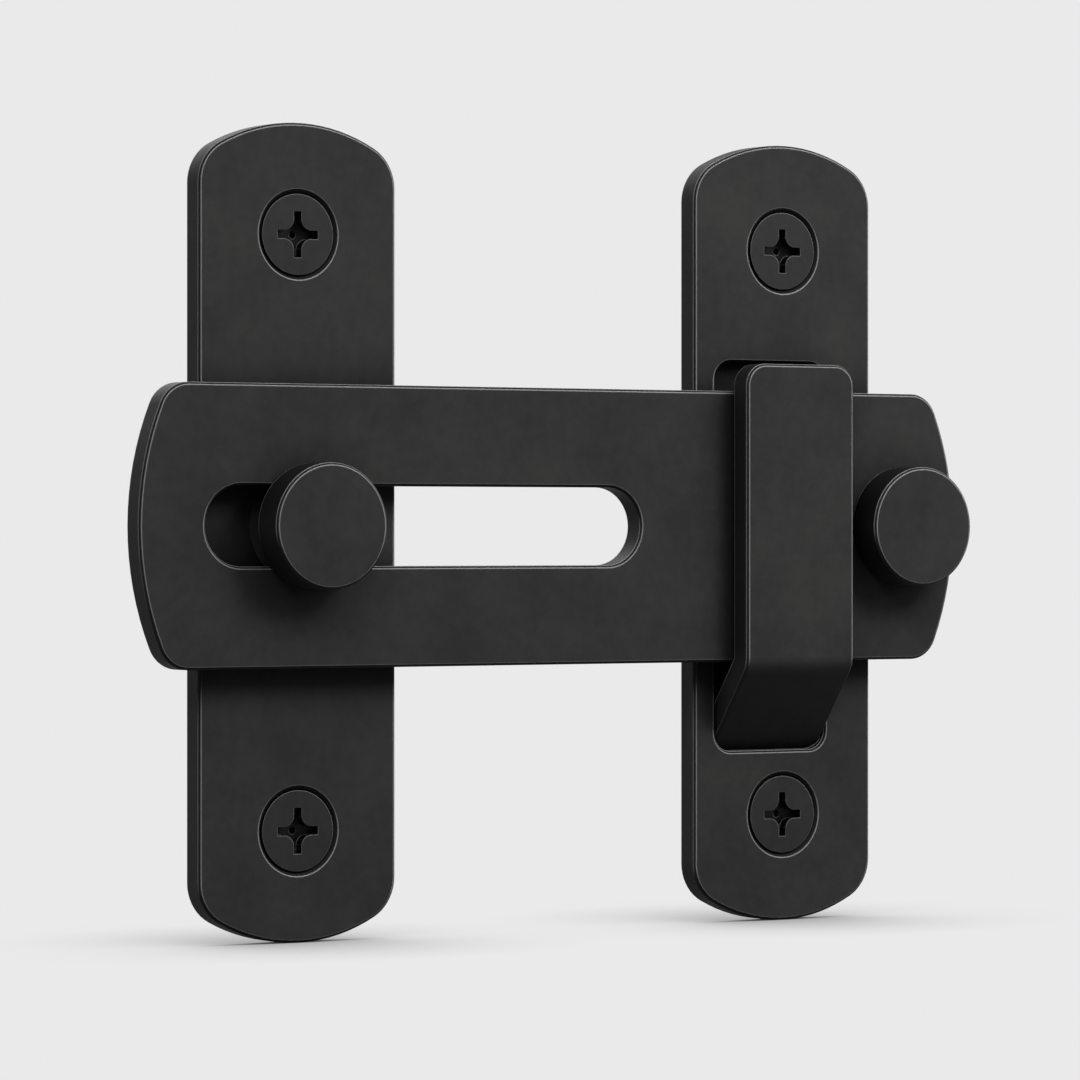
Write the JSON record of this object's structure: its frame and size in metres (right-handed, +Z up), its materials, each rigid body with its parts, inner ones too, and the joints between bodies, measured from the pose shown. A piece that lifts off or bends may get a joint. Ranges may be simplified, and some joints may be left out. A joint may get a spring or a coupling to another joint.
{
  "type": "door lock",
  "caption": "Flip latch for a pair of doors: a slotted bar turns and slides on a knob and drops behind a hook on the other door's plate.",
  "frame": {"origin": "on the back of the pivot plate, where the axis of the pivot knob meets it", "axes": "+X along the closed bar towards the keeper plate, +Y into the door, +Z up"},
  "size_m": [0.119, 0.0275, 0.099],
  "materials": {
    "black_coat": "matte powder coat",
    "black_knob": "matte powder coat",
    "black_screw": "matte black oxide",
    "black_nylon": "plain"
  },
  "bodies": {
    "mounting": {"pivot_plate": "black_coat", "keeper_plate": "black_coat", "pivot_plate_screw_upper": "black_screw", "pivot_plate_screw_lower": "black_screw", "keeper_plate_screw_upper": "black_screw", "keeper_plate_screw_lower": "black_screw"},
    "pivot": {"pivot_knob": "black_knob", "pivot_screw": "black_screw", "rear_washer": "black_nylon", "front_washer": "black_nylon"},
    "bar": {"slide_bar": "black_coat", "pull_knob": "black_knob", "pull_screw": "black_screw"}
  },
  "joints": [
    {"name": "bar_swing", "type": "hinge", "parent": "mounting", "child": "pivot", "pos_m": [0, 0, 0], "axis": [0, -1, 0], "range_deg": [0, 320]},
    {"name": "bar_slide", "type": "slide", "parent": "pivot", "child": "bar", "axis": [1, 0, 0], "range_m": [-0.0014, 0.0097]}
  ]
}
